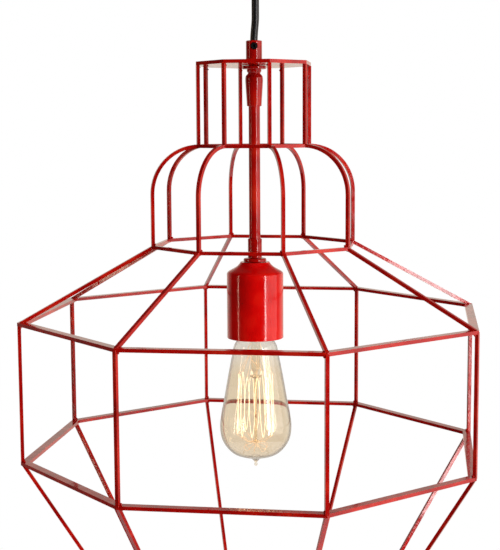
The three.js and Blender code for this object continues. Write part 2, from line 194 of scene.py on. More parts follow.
def smooth_path(points, steps=8):
    """A Catmull-Rom curve through points, in a plane or in space, with some steps to each span."""
    points = [Vector(point) for point in points]
    padded = [points[0], *points, points[-1]]
    curve = []
    for a, b, c, d in zip(padded, padded[1:], padded[2:], padded[3:]):
        for k in range(steps):
            t = k / steps
            curve.append(0.5 * (2 * b + (c - a) * t + (2 * a - 5 * b + 4 * c - d) * t ** 2
                                + (3 * b - a - 3 * c + d) * t ** 3))
    return [*curve, points[-1]]


def bezier(points, steps):
    """A cubic curve through four control points."""
    a, b, c, d = (Vector(p) for p in points)
    curve = []
    for k in range(steps + 1):
        t = k / steps
        point = a * (1 - t) ** 3 + b * 3 * t * (1 - t) ** 2 + c * 3 * t ** 2 * (1 - t) + d * t ** 3
        curve.append((point.x, point.y))
    return curve


def cut_away(mesh, cutters):
    """The mesh with the cutter meshes taken out of it."""
    body = bpy.data.objects.new("cut_body", mesh)
    scene.collection.objects.link(body)
    helpers = [body]
    for cutter_mesh in cutters:
        cutter = bpy.data.objects.new("cutter", cutter_mesh)
        scene.collection.objects.link(cutter)
        helpers.append(cutter)
        boolean = body.modifiers.new("cut", "BOOLEAN")
        boolean.operation = "DIFFERENCE"
        boolean.solver = "EXACT"
        boolean.object = cutter
    bpy.context.view_layer.update()
    graph = bpy.context.evaluated_depsgraph_get()
    result = bpy.data.meshes.new_from_object(body.evaluated_get(graph))
    for helper in helpers:
        bpy.data.objects.remove(helper)
    return result


def rod_mesh(radius, length, sides, place):
    """A plain round or six-sided rod along X from the origin, moved by a matrix, as a cutter."""
    builder = bmesh.new()
    bmesh.ops.create_cone(builder, cap_ends=True, segments=sides, radius1=radius * MM,
                          radius2=radius * MM, depth=length * MM)
    bmesh.ops.rotate(builder, verts=builder.verts, matrix=Matrix.Rotation(math.pi / 2, 3, "Y"))
    bmesh.ops.translate(builder, verts=builder.verts, vec=(length * MM / 2, 0, 0))
    bmesh.ops.transform(builder, verts=builder.verts, matrix=place)
    return mesh_from("rod", builder)


def sweep_into(builder, points, radius, sides=8):
    """A round wire along points in metres, with flat ends."""
    rings = []
    up = (points[1] - points[0]).orthogonal().normalized()
    for i, point in enumerate(points):
        before = points[max(i - 1, 0)]
        after = points[min(i + 1, len(points) - 1)]
        along = (after - before).normalized()
        up = (up - along * up.dot(along)).normalized()
        side = along.cross(up)
        ring = []
        for s in range(sides):
            angle = 2 * math.pi * s / sides
            offset = (up * math.cos(angle) + side * math.sin(angle)) * radius
            ring.append(builder.verts.new(point + offset))
        rings.append(ring)
    for a, b in zip(rings, rings[1:]):
        for s in range(sides):
            t = (s + 1) % sides
            builder.faces.new((a[s], a[t], b[t], b[s]))
    builder.faces.new(list(reversed(rings[0])))
    builder.faces.new(rings[-1])


# ---- Material helpers ----

def new_material(name):
    material = bpy.data.materials.new(name)
    material.use_nodes = True
    tree = material.node_tree
    return material, tree, tree.nodes["Principled BSDF"]


def add_node(tree, kind, **settings):
    node = tree.nodes.new(kind)
    for key, value in settings.items():
        if key in node.inputs:
            node.inputs[key].default_value = value
        else:
            setattr(node, key, value)
    return node


def position(tree):
    """The surface point in the object's own space, in metres."""
    return tree.nodes.new("ShaderNodeTexCoord").outputs["Object"]


def noise_of(tree, coordinate, scale, detail=2, roughness=0.5):
    node = add_node(tree, "ShaderNodeTexNoise", Scale=scale, Detail=detail, Roughness=roughness)
    tree.links.new(coordinate, node.inputs["Vector"])
    return node.outputs["Fac"]


def ramp(tree, value, stops):
    """Colours between positions along a value."""
    node = tree.nodes.new("ShaderNodeValToRGB")
    elements = node.color_ramp.elements
    while len(elements) < len(stops):
        elements.new(0.5)
    for element, (place, colour) in zip(elements, stops):
        element.position = place
        element.color = (*colour, 1)
    tree.links.new(value, node.inputs["Fac"])
    return node.outputs["Color"]


def span(tree, value, low, high, start=0.0, end=1.0):
    """The value from start to end, mapped to low to high."""
    node = tree.nodes.new("ShaderNodeMapRange")
    node.inputs["From Min"].default_value = start
    node.inputs["From Max"].default_value = end
    node.inputs["To Min"].default_value = low
    node.inputs["To Max"].default_value = high
    tree.links.new(value, node.inputs["Value"])
    return node.outputs["Result"]


def blend_colours(tree, share, first, second):
    node = add_node(tree, "ShaderNodeMix", data_type="RGBA")
    tree.links.new(share, node.inputs["Factor"])
    for socket, colour in ((node.inputs[6], first), (node.inputs[7], second)):
        if isinstance(colour, tuple):
            socket.default_value = (*colour, 1)
        else:
            tree.links.new(colour, socket)
    return node.outputs[2]


def bump(tree, shader, layers):
    """Stacks height layers of (height, strength, distance in metres) on a shader."""
    normal = None
    for height, strength, distance in layers:
        node = add_node(tree, "ShaderNodeBump", Strength=strength, Distance=distance)
        tree.links.new(height, node.inputs["Height"])
        if normal is not None:
            tree.links.new(normal, node.inputs["Normal"])
        normal = node.outputs["Normal"]
    tree.links.new(normal, shader.inputs["Normal"])


def worn_edge(tree, radius, low, high):
    """0 on open surfaces and 1 on tight edges, from how far the rounded normal leans."""
    bevel = add_node(tree, "ShaderNodeBevel", Radius=radius, samples=4)
    geometry = tree.nodes.new("ShaderNodeNewGeometry")
    lean = add_node(tree, "ShaderNodeVectorMath", operation="DOT_PRODUCT")
    tree.links.new(bevel.outputs["Normal"], lean.inputs[0])
    tree.links.new(geometry.outputs["Normal"], lean.inputs[1])
    return span(tree, lean.outputs["Value"], 0, 1, start=high, end=low)


# ---- Materials ----

# The two tone sets are one red enamel. The second, for the cage, stem, finial, collar, sleeve and nut, is
# the same paint made darker as painted shade.
PAINT = {"deep": (0.47, 0.0009, 0.0009), "open": (0.62, 0.0014, 0.0012), "thin": (0.72, 0.010, 0.004)}
SHADED_CAGE_PAINT = {"deep": (0.27, 0.0016, 0.0008), "open": (0.40, 0.0026, 0.0012), "thin": (0.54, 0.018, 0.006)}
PAINT_CHIP = (0.72, 0.30, 0.22)
STEEL_SPECK = (0.045, 0.012, 0.010)


def red_paint(name, tones):
    """Sprayed gloss enamel on steel: it pools and thins, dimples like orange peel, and has a few
    dark pinholes."""
    material, tree, shader = new_material(name)
    where = position(tree)
    cloud = noise_of(tree, where, 38, detail=3)
    colour = ramp(tree, cloud, [(0.3, tones["deep"]), (0.52, tones["open"]), (0.75, tones["thin"])])
    edge = worn_edge(tree, 0.0006, 0.80, 0.97)
    colour = blend_colours(tree, span(tree, edge, 0, 0.45), colour, tones["thin"])
    specks = add_node(tree, "ShaderNodeTexVoronoi", Scale=105, Randomness=1.0)
    tree.links.new(where, specks.inputs["Vector"])
    speck = span(tree, specks.outputs["Distance"], 1, 0, start=0.03, end=0.05)
    colour = blend_colours(tree, speck, colour, STEEL_SPECK)
    chips = noise_of(tree, where, 640, detail=2, roughness=0.7)
    chip = add_node(tree, "ShaderNodeMath", operation="MULTIPLY")
    tree.links.new(span(tree, chips, 0, 1, start=0.70, end=0.76), chip.inputs[0])
    tree.links.new(edge, chip.inputs[1])
    colour = blend_colours(tree, chip.outputs[0], colour, PAINT_CHIP)
    tree.links.new(colour, shader.inputs["Base Color"])
    smear = noise_of(tree, where, 120, detail=4)
    tree.links.new(span(tree, smear, 0.07, 0.19, start=0.3, end=0.7), shader.inputs["Roughness"])
    peel = noise_of(tree, where, 900, detail=1)
    sag = noise_of(tree, where, 110, detail=2)
    bump(tree, shader, [(sag, 0.25, 0.0007), (peel, 0.12, 0.00018), (speck, 0.3, -0.0001)])
    shader.inputs["Specular IOR Level"].default_value = 0.35
    shader.inputs["Coat Weight"].default_value = 0.35
    shader.inputs["Coat Roughness"].default_value = 0.04
    return material


def black_sheath():
    """The cord's smooth sheath: near black, faintly streaked along its length, with fine dust."""
    material, tree, shader = new_material("cord_black_sheath")
    where = position(tree)
    stretch = add_node(tree, "ShaderNodeMapping")
    stretch.inputs["Scale"].default_value = (1, 1, 0.06)
    tree.links.new(where, stretch.inputs["Vector"])
    streaks = noise_of(tree, stretch.outputs["Vector"], 900, detail=3)
    colour = ramp(tree, streaks, [(0.35, (0.004, 0.004, 0.0045)), (0.7, (0.014, 0.014, 0.015))])
    dust = noise_of(tree, where, 1400, detail=2, roughness=0.7)
    dusty = span(tree, dust, 0, 0.35, start=0.66, end=0.8)
    colour = blend_colours(tree, dusty, colour, (0.09, 0.085, 0.08))
    tree.links.new(colour, shader.inputs["Base Color"])
    tree.links.new(span(tree, streaks, 0.24, 0.42), shader.inputs["Roughness"])
    bump(tree, shader, [(streaks, 0.2, 0.0002)])
    return material


def bare_metal(name, base, dark, roughness):
    """Plated or drawn metal with brush lines round it, dull patches and bright rubbed edges."""
    material, tree, shader = new_material(name)
    where = position(tree)
    stretch = add_node(tree, "ShaderNodeMapping")
    stretch.inputs["Scale"].default_value = (0.05, 0.05, 1)
    tree.links.new(where, stretch.inputs["Vector"])
    lines = noise_of(tree, stretch.outputs["Vector"], 2400, detail=3)
    patches = noise_of(tree, where, 160, detail=4)
    colour = ramp(tree, patches, [(0.3, dark), (0.6, base)])
    edge = worn_edge(tree, 0.0004, 0.80, 0.97)
    bright = tuple(min(1, c * 1.25) for c in base)
    colour = blend_colours(tree, span(tree, edge, 0, 0.6), colour, bright)
    tree.links.new(colour, shader.inputs["Base Color"])
    shader.inputs["Metallic"].default_value = 0.8
    tree.links.new(span(tree, lines, roughness - 0.08, roughness + 0.12), shader.inputs["Roughness"])
    bump(tree, shader, [(lines, 0.15, 0.00008), (patches, 0.1, 0.0002)])
    return material


def black_screw_metal():
    """Blackened steel, rubbed grey where the key and the edges wear it."""
    material, tree, shader = new_material("blackened_steel")
    where = position(tree)
    grain = noise_of(tree, where, 1600, detail=3)
    colour = ramp(tree, grain, [(0.3, (0.004, 0.004, 0.005)), (0.75, (0.022, 0.022, 0.024))])
    edge = worn_edge(tree, 0.0003, 0.78, 0.96)
    colour = blend_colours(tree, span(tree, edge, 0, 0.55), colour, (0.14, 0.135, 0.13))
    tree.links.new(colour, shader.inputs["Base Color"])
    shader.inputs["Metallic"].default_value = 0.7
    tree.links.new(span(tree, grain, 0.32, 0.55), shader.inputs["Roughness"])
    bump(tree, shader, [(grain, 0.2, 0.0001)])
    return material


def glazed_ceramic():
    """Off-white glazed ceramic, cloudy, with fine grey pits."""
    material, tree, shader = new_material("glazed_ceramic")
    where = position(tree)
    cloud = noise_of(tree, where, 90, detail=4)
    colour = ramp(tree, cloud, [(0.3, (0.66, 0.62, 0.54)), (0.6, (0.82, 0.8, 0.74))])
    pits = noise_of(tree, where, 2200, detail=1)
    colour = blend_colours(tree, span(tree, pits, 0, 0.5, start=0.7, end=0.8), colour, (0.3, 0.27, 0.23))
    tree.links.new(colour, shader.inputs["Base Color"])
    tree.links.new(span(tree, cloud, 0.18, 0.38), shader.inputs["Roughness"])
    bump(tree, shader, [(cloud, 0.2, 0.0004), (pits, 0.1, 0.0001)])
    return material


def amber_glass(name, tint, thick_tint, painted_rim_shade):
    """Blown glass, lightly amber, with slow waves in its wall and a faint film. Its colour is
    painted darker where the eye looks along the wall and through more of it: painted shade."""
    material, tree, shader = new_material(name)
    where = position(tree)
    waves = noise_of(tree, where, 45, detail=2)
    colour = ramp(tree, waves, [(0.3, thick_tint), (0.7, tint)])
    parts = add_node(tree, "ShaderNodeSeparateXYZ")
    tree.links.new(where, parts.inputs[0])
    neck = span(tree, parts.outputs["Z"], 0, 0.75, start=lift(-118), end=lift(-88))
    colour = blend_colours(tree, neck, colour, (0.88, 0.87, 0.85))
    # Painted shade: a dark rim is painted into the colour where the wall is seen edge-on.
    grazing = add_node(tree, "ShaderNodeLayerWeight", Blend=0.5).outputs["Facing"]
    rim = add_node(tree, "ShaderNodeMath", operation="MULTIPLY")
    tree.links.new(span(tree, grazing, 0, 1, start=0.62, end=0.85), rim.inputs[0])
    above_pip = span(tree, parts.outputs["Z"], 0.25, 1, start=lift(-193), end=lift(-188))
    tree.links.new(above_pip, rim.inputs[1])
    colour = blend_colours(tree, rim.outputs[0], colour, painted_rim_shade)
    tree.links.new(colour, shader.inputs["Base Color"])
    film = noise_of(tree, where, 260, detail=3)
    tree.links.new(span(tree, film, 0.0, 0.05, start=0.45, end=0.8), shader.inputs["Roughness"])
    shader.inputs["Transmission Weight"].default_value = 1
    shader.inputs["IOR"].default_value = 1.47
    bump(tree, shader, [(waves, 0.12, 0.0009)])
    return material


def hot_wire(name, cool, hot, strength):
    """Glowing wire, redder in spots. On the filament the glow is the lamp's own light; on the support
    wires it is painted glow.
    """
    material, tree, shader = new_material(name)
    where = position(tree)
    mottle = noise_of(tree, where, 420, detail=2)
    colour = ramp(tree, mottle, [(0.3, cool), (0.6, hot)])
    tree.links.new(colour, shader.inputs["Emission Color"])
    tree.links.new(colour, shader.inputs["Base Color"])
    shader.inputs["Emission Strength"].default_value = strength
    tree.links.new(span(tree, mottle, 0.45, 0.7), shader.inputs["Roughness"])
    return material


def plastic(name, base, dark, roughness):
    """Moulded plastic with a fine grain and slight colour drift."""
    material, tree, shader = new_material(name)
    where = position(tree)
    grain = noise_of(tree, where, 1500, detail=2)
    drift = noise_of(tree, where, 130, detail=3)
    tree.links.new(ramp(tree, drift, [(0.3, dark), (0.65, base)]), shader.inputs["Base Color"])
    tree.links.new(span(tree, grain, roughness - 0.08, roughness + 0.1), shader.inputs["Roughness"])
    bump(tree, shader, [(grain, 0.15, 0.0001)])
    return material


paint = red_paint("gloss_red_paint", PAINT)
# A darker copy of the cup's enamel: its darkness is painted shade.
shaded_cage_paint = red_paint("cage_red_paint_painted_shade", SHADED_CAGE_PAINT)
sheath = black_sheath()
zinc = bare_metal("zinc_plate", (0.62, 0.63, 0.64), (0.44, 0.45, 0.47), 0.3)
nickel = bare_metal("nickel_cap", (0.72, 0.69, 0.62), (0.5, 0.47, 0.41), 0.24)
brass = bare_metal("drawn_brass", (0.74, 0.52, 0.2), (0.5, 0.32, 0.1), 0.26)
blackened = black_screw_metal()
ceramic = glazed_ceramic()
glass = amber_glass("amber_glass", (0.885, 0.81, 0.69), (0.845, 0.75, 0.615), (0.1, 0.08, 0.06))
mount_glass = amber_glass("mount_glass", (0.97, 0.88, 0.74), (0.95, 0.80, 0.56), (0.6, 0.46, 0.3))
glow = hot_wire("glowing_filament", (1.0, 0.6, 0.32), (1.0, 0.86, 0.7), 2.2)
# The support wires are no lamp: their faint glow is painted light, standing in for the filament's light on
# them.
painted_glow_wire = hot_wire("support_wire_painted_glow", (0.8, 0.42, 0.2), (0.95, 0.74, 0.5), 0.6)


# ---- Cord ----

CORD_RADIUS = 3.25
UPPER_PIVOT = 235.7
CORD_LEAN = 1.3
CORD_END = 168.2
COLLAR_TOP = 177.2

# The heights of the cord's middle line, from inside the collar up to the grip
CORD_HEIGHTS = evenly(CORD_END, UPPER_PIVOT, 44)


def ease(value, start, end):
    """0 at the start and 1 at the end, with a smooth run between them."""
    t = min(1, max(0, (value - start) / (end - start)))
    return t * t * (3 - 2 * t)


def cord_lean(height):
    """How far the cord leans aside between the collar and the rose, in metres."""
    amount = CORD_LEAN * ease(height, COLLAR_TOP, 198) * ease(height, 234, 212)
    return Vector((math.cos(CAMERA_AZIMUTH), math.sin(CAMERA_AZIMUTH), 0)) * amount * MM


def make_cord():
    """One length of cord that bends at the lower pivot. Its upper end is a ball about the upper one."""
    profile = [(0, CORD_END)]
    profile += [(CORD_RADIUS, height) for height in CORD_HEIGHTS]
    for angle in evenly(math.pi / 12, math.pi * 5 / 12, 4):
        profile.append((CORD_RADIUS * math.cos(angle), UPPER_PIVOT + CORD_RADIUS * math.sin(angle)))
    profile.append((0, UPPER_PIVOT + CORD_RADIUS))
    mesh = lathe("hanging_cord", profile, 40)
    for vertex in mesh.vertices:
        vertex.co += cord_lean(vertex.co.z / MM + CEILING)
    return finish_mesh("hanging_cord", mesh, None, sheath, ("cord_top", "cord"))


hanging_cord = make_cord()


# ---- Ceiling rose ----

ROSE = {"radius": 50, "wall": 1.2, "underside": 243, "curve": 9}
SCREW_HEIGHT = 258
SCREW_SHANK = 1.6
GRIP_BOTTOM = 237


def make_rose():
    radius, wall, underside, curve = (ROSE[k] for k in ("radius", "wall", "underside", "curve"))
    rim = CEILING - 0.3
    profile = rounded([
        (5.3, underside, 0.2),
        (radius, underside, curve),
        (radius, rim, 0.3),
        (radius - wall, rim, 0.3),
        (radius - wall, underside + wall, curve - wall),
        (5.3, underside + wall, 0.2),
    ], steps=8)
    mesh = lathe("rose_cup", profile, 128)
    holes = []
    outwards = Matrix.Translation((radius * 0.9 * MM, 0, lift(SCREW_HEIGHT)))
    for angle in (0, math.pi):
        place = Matrix.Rotation(angle, 4, "Z") @ outwards
        holes.append(rod_mesh(SCREW_SHANK + 0.3, 10, 24, place))
    mesh = cut_away(mesh, holes)
    finish_mesh("rose_cup", mesh, "rose", paint, ("ceiling_rose",))


def make_rose_grip():
    """The cord grip: a turned foot under the rose, and its threaded neck with a lock nut inside."""
    pitch = 1.0
    steps = 40
    profile = [
        (3.65, GRIP_BOTTOM + 1.5), (4.65, GRIP_BOTTOM), (6.4, GRIP_BOTTOM), (6.7, GRIP_BOTTOM + 0.15),
        (8.3, GRIP_BOTTOM + 1.8), (8.5, GRIP_BOTTOM + 2.2), (8.5, 242.3), (8.3, 242.7), (5.0, 242.7),
    ]
    start = len(profile)
    profile += [(4.8, height) for height in evenly(243, 252, steps)]
    profile.append((3.65, 252))

    def wave(i, angle):
        if i < start or i > start + steps:
            return 0
        return 0.2 * math.cos(2 * math.pi * profile[i][1] / pitch - angle)

    mesh = lathe("rose_grip", profile, 64, wave)
    finish_mesh("rose_grip", mesh, "rose", paint, ("rose_cord_grip",))
    nut = rounded([(5.2, 244.4, 0.2), (9.2, 244.4, 0.8), (9.2, 248.2, 0.8), (5.2, 248.2, 0.2)], steps=3)
    mesh = lathe("grip_lock_nut", nut, 6)
    finish_mesh("grip_lock_nut", mesh, "rose", zinc, sharp=20)


def make_side_screws():
    """Two pan-headed screws with crossed recesses."""
    seat = ROSE["radius"] + 0.3
    for name, side in (("left", -1), ("right", 1)):
        head = rounded([
            (0, seat - 9, 0), (1.2, seat - 9, 0.3), (1.6, seat - 8, 0.3), (1.6, seat, 0.1),
            (3.6, seat, 0.2), (3.5, seat + 1.2, 0.7), (1.8, seat + 2, 0.8), (0, seat + 2, 0),
        ])
        shifted = [(radius, along + CEILING) for radius, along in head]
        mesh = lathe("side_screw", shifted, 40)
        cutters = []
        for turn in (0, math.pi / 2):
            builder = bmesh.new()
            bmesh.ops.create_cube(builder, size=1)
            bmesh.ops.scale(builder, verts=builder.verts, vec=(3.6 * MM, 0.7 * MM, 2.2 * MM))
            bmesh.ops.rotate(builder, verts=builder.verts, matrix=Matrix.Rotation(turn, 3, "Z"))
            bmesh.ops.translate(builder, verts=builder.verts, vec=(0, 0, (seat + 2) * MM))
            cutters.append(mesh_from("recess", builder))
        mesh = cut_away(mesh, cutters)
        turn = Matrix.Rotation(side * math.pi / 2, 4, "Y")
        mesh.transform(Matrix.Translation((0, 0, lift(SCREW_HEIGHT))) @ turn)
        replaced = (f"rose_screw_{name}",)
        finish_mesh(f"side_screw_{name}", mesh, "rose", blackened, replaced)


def make_terminals():
    """A three-way terminal block in the rose, with the cord's three conductors run into it."""
    body = plastic("terminal_nylon", (0.72, 0.7, 0.64), (0.6, 0.57, 0.5), 0.4)
    builder = bmesh.new()
    block_y, block_z, pitch = 25, 252, 7.4
    for k in (-1, 0, 1):
        for width, deep, tall, shift in ((6.6, 15, 9, 0), (4.2, 4.2, 13, 3.6), (4.2, 4.2, 13, -3.6)):
            cell = bmesh.ops.create_cube(builder, size=1)["verts"]
            bmesh.ops.scale(builder, verts=cell, vec=(width * MM, deep * MM, tall * MM))
            move = (k * pitch * MM, (block_y + shift) * MM, lift(block_z + (tall - 9) / 2))
            bmesh.ops.translate(builder, verts=cell, vec=move)
    mesh = mesh_from("terminal_block", builder)
    block = finish_mesh("terminal_block", mesh, "rose", body)
    soften(block, 0.5)
    heads = bmesh.new()
    for k in (-1, 0, 1):
        for shift in (3.6, -3.6):
            verts = bmesh.ops.create_cone(heads, cap_ends=True, segments=20, radius1=1.5 * MM,
                                          radius2=1.4 * MM, depth=1.2 * MM)["verts"]
            move = (k * pitch * MM, (block_y + shift) * MM, lift(block_z + 8.8))
            bmesh.ops.translate(heads, verts=verts, vec=move)
    mesh = mesh_from("terminal_screws", heads)
    finish_mesh("terminal_screws", mesh, "rose", brass)
    colours = {
        "brown": ((0.13, 0.045, 0.02), (0.09, 0.03, 0.012)),
        "blue": ((0.02, 0.09, 0.32), (0.012, 0.06, 0.22)),
        "green": ((0.05, 0.22, 0.04), (0.32, 0.3, 0.02)),
    }
    for k, (colour, (base, dark)) in zip((-1, 0, 1), colours.items()):
        insulation = plastic(f"{colour}_insulation", base, dark, 0.38)
        points = [
            Vector((0.9 * k * MM, 0.5 * MM, lift(250))),
            Vector((1.0 * k * MM, 1.0 * MM, lift(255))),
            Vector((3.0 * k * MM, 5 * MM, lift(259.5))),
            Vector((6.5 * k * MM, 11 * MM, lift(258))),
            Vector((pitch * k * MM, 15 * MM, lift(252.5))),
            Vector((pitch * k * MM, 19 * MM, lift(250.5))),
        ]
        wire = bmesh.new()
        sweep_into(wire, smooth_path(points), 1.0 * MM, sides=12)
        mesh = mesh_from(f"conductor_{colour}", wire)
        finish_mesh(f"conductor_{colour}", mesh, "rose", insulation)


def soften(piece, width):
    """Rounds a piece's hard edges by a width in millimetres."""
    bevel = piece.modifiers.new("soft_edges", "BEVEL")
    bevel.width = width * MM
    bevel.segments = 3
    bevel.limit_method = "ANGLE"
    bevel.angle_limit = math.radians(30)
    bevel.harden_normals = True


# ---- Collar, finial and stem ----

CORD_BORE = 3.65
COLLAR_RADIUS = 7
SPIGOT = 4.7
STEM_HOLE = 5.3
PLATE_TOP = 158.9
PLATE_UNDERSIDE = 155.8
GRUB_AZIMUTH = 8
GRUB_HEIGHT = 172.4
GRUB_RADIUS = 2.9


def grub_place(start):
    """A matrix that lays X along the grub screw, starting some millimetres from the axis."""
    turn = Matrix.Rotation(math.radians(GRUB_AZIMUTH - 90), 4, "Z")
    return turn @ Matrix.Translation((start * MM, 0, lift(GRUB_HEIGHT)))


def make_collar():
    profile = rounded([
        (SPIGOT + 0.3, PLATE_TOP + 0.3, 0.1),
        (COLLAR_RADIUS, PLATE_TOP + 0.3, 0.5),
        (COLLAR_RADIUS, COLLAR_TOP, 0.9),
        (CORD_BORE, COLLAR_TOP, 1.0),
        (CORD_BORE, 166.6, 0.1),
        (SPIGOT + 0.3, 166.6, 0.1),
    ])
    mesh = lathe("collar", profile, 96)
    mesh = cut_away(mesh, [rod_mesh(GRUB_RADIUS + 0.3, 6, 40, grub_place(2))])
    finish_mesh("collar", mesh, "lamp", shaded_cage_paint, ("cord_grip_collar",))


def make_grub_screw():
    """The screw is turned about Z from its tip to its socket end, then laid along its own hole."""
    outline = [(0, 3.9), (2.0, 4.0), (2.75, 4.6), (2.75, 6.1), (2.35, 6.45), (0, 6.45)]
    mesh = lathe("grub", [(radius, along + CEILING) for radius, along in outline], 40)
    mesh.transform(grub_place(0) @ Matrix.Rotation(math.pi / 2, 4, "Y"))
    mesh = cut_away(mesh, [rod_mesh(1.5, 4, 6, grub_place(4.9))])
    finish_mesh("grub", mesh, "lamp", blackened, ("grub_screw",))


def make_finial():
    outline = rounded([
        (STEM_HOLE, 120.9, 0.1),
        (6.35, 120.9, 0.5),
        (6.45, 122.4, 0.4),
        (7.0, 131, 3),
        (7.8, 143.6, 2),
        (7.5, 147.0, 1.8),
        (5.0, 149.2, 1.2),
        (6.5, 151.0, 0.9),
        (6.2, 152.8, 0.5),
        (10.3, 152.8, 0.6),
        (10.3, 155.5, 0.5),
        (SPIGOT, 155.5, 0.1),
        (SPIGOT, 166.3, 0.3),
        (CORD_BORE, 166.3, 0.2),
        (CORD_BORE, 139.3, 0.2),
        (STEM_HOLE, 138.7, 0.1),
    ], steps=6)
    mesh = lathe("finial_turning", outline, 96)
    finish_mesh("finial_turning", mesh, "lamp", shaded_cage_paint, ("finial",))


def make_stem():
    stem = rounded([(3.8, -26, 0.2), (5, -26, 0.3), (5, 138.4, 0.3), (3.8, 138.4, 0.2)])
    mesh = lathe("stem", stem, 72)
    finish_mesh("stem", mesh, "lamp", shaded_cage_paint, ("stem_tube",))
    sleeve = rounded([
        (STEM_HOLE, -11.6, 0.1), (6.2, -11.6, 0.2), (6.2, 5, 0.7), (STEM_HOLE - 0.1, 5.3, 0.1),
    ])
    mesh = lathe("sleeve", sleeve, 72)
    finish_mesh("sleeve", mesh, "lamp", shaded_cage_paint, ("stem_sleeve",))
    nut = rounded([
        (STEM_HOLE, -15.1, 0.1), (10.1, -15.1, 0.5), (10.1, -12.4, 0.9),
        (7.4, -11.9, 0.5), (STEM_HOLE, -11.9, 0.1),
    ])
    mesh = lathe("lock_nut", nut, 72)
    finish_mesh("lock_nut", mesh, "lamp", shaded_cage_paint, ("holder_nut",))


# ---- Lamp holder ----

CUP_RADIUS = 25
CUP_WALL = 1.2
CUP_RIM = -83.1
CUP_TOP = -15.4


def cup_shoulder(inset):
    return bezier([
        (CUP_RADIUS - inset, -26.2),
        (CUP_RADIUS - inset * 0.9, -22.3 - inset * 0.8),
        (16.2, -22.2 - inset),
        (12.8, CUP_TOP - inset),
    ], 24)


def make_cup():
    rim = rounded([
        (CUP_RADIUS - CUP_WALL, -70, 0), (CUP_RADIUS - CUP_WALL, CUP_RIM, 0.45),
        (CUP_RADIUS, CUP_RIM, 0.45), (CUP_RADIUS, -70, 0),
    ])
    profile = [
        *rim,
        *cup_shoulder(0),
        (STEM_HOLE, CUP_TOP),
        (STEM_HOLE, CUP_TOP - CUP_WALL),
        *reversed(cup_shoulder(CUP_WALL)),
    ]
    mesh = lathe("spun_cup", profile, 128)
    finish_mesh("spun_cup", mesh, "lamp", paint, ("holder_cup",), sharp=50)


def make_core():
    profile = rounded([
        (15, -77.5, 0.4), (17.5, -77.5, 0.7), (17.5, -41, 0.8), (15, -41, 0.3), (15, -28, 0.8),
        (10.5, -28, 0.3), (10.5, -17, 0.5), (STEM_HOLE, -17, 0.2), (STEM_HOLE, -31.5, 0.2),
        (11, -31.5, 0.4), (11, -39, 0.4), (2.7, -39, 0.2), (2.7, -45, 0.2), (15, -45, 0.3),
    ])
    mesh = lathe("ceramic_core", profile, 96)
    finish_mesh("ceramic_core", mesh, "lamp", ceramic, ("holder_core",))


# The screw thread of the bulb and its holder, size E27
THREAD_PITCH = 3.629
THREAD_SWING = 0.5
CAP_THREAD = 12.7
THREAD_SLACK = 0.45


def threaded(name, before, wall, heights, after):
    """A lathe whose stretch at the given wall radius is waved into a round right-hand thread."""
    profile = [*before, *[(wall, height) for height in heights], *after]
    first, last = len(before), len(before) + len(heights) - 1

    def wave(i, angle):
        if first <= i <= last:
            return THREAD_SWING * math.cos(2 * math.pi * profile[i][1] / THREAD_PITCH - angle)
        return 0

    return lathe(name, profile, wave=wave)


def make_screw_shell():
    before = [(14.7, -72.8), (14.7, -45.5), (14.5, -45.3), (5.7, -45.3), (5.7, -46.1)]
    heights = evenly(-46.1, -72.8, 96)
    mesh = threaded("threaded_shell", before, CAP_THREAD + THREAD_SLACK, heights, [])
    finish_mesh("threaded_shell", mesh, "lamp", brass, ("screw_shell",))
    contact = rounded([
        (0, -50.5, 0), (2.5, -50.1, 0.8), (3.6, -48.5, 0.8), (5.2, -46.5, 0.4), (5.2, -45.3, 0.2),
        (2.4, -45.3, 0.1), (2.4, -38, 0.4), (0, -38, 0),
    ])
    mesh = lathe("contact_dome", contact, 64)
    finish_mesh("contact_dome", mesh, "lamp", brass, ("centre_contact",))


# ---- Bulb ----

GLASS_WALL = 0.8
GLASS_BOTTOM = -192.7
PIP_TIP = -200.4
CAP_RIM = -77.5


def envelope():
    wall = smooth_path([
        (6.5, GLASS_BOTTOM + 0.4), (20.5, -187.6), (29.5, -177), (32, -165), (30.9, -153),
        (28.3, -139.4), (24.3, -116.6), (20.6, -98), (18.9, -90), (14.4, -82.6),
    ], 7)
    return [*wall, (11.9, -79.6), (11.2, -78), (11, -76), (11, -62)]


def make_glass():
    outside = envelope()
    inside = []
    for i, point in enumerate(outside):
        before = Vector(outside[max(i - 1, 0)])
        after = Vector(outside[min(i + 1, len(outside) - 1)])
        along = (after - before).normalized()
        inside.append((point[0] - GLASS_WALL * along.y, point[1] + GLASS_WALL * along.x))
    inside[-1] = (inside[-1][0], -62)
    pip = [
        (0, PIP_TIP), (0.7, PIP_TIP + 0.1), (1.3, PIP_TIP + 0.6), (1.6, PIP_TIP + 1.6),
        (1.45, PIP_TIP + 2.5), (1.2, PIP_TIP + 3.1), (1.35, PIP_TIP + 3.8), (2.2, PIP_TIP + 5.1),
        (3.4, PIP_TIP + 6.2), (4.6, PIP_TIP + 7.0),
    ]
    profile = [*pip, *outside, *reversed(inside), (0, GLASS_BOTTOM + 1)]
    mesh = lathe("glass_envelope", profile, 96)
    finish_mesh("glass_envelope", mesh, "bulb", glass, ("bulb_glass",), sharp=80)


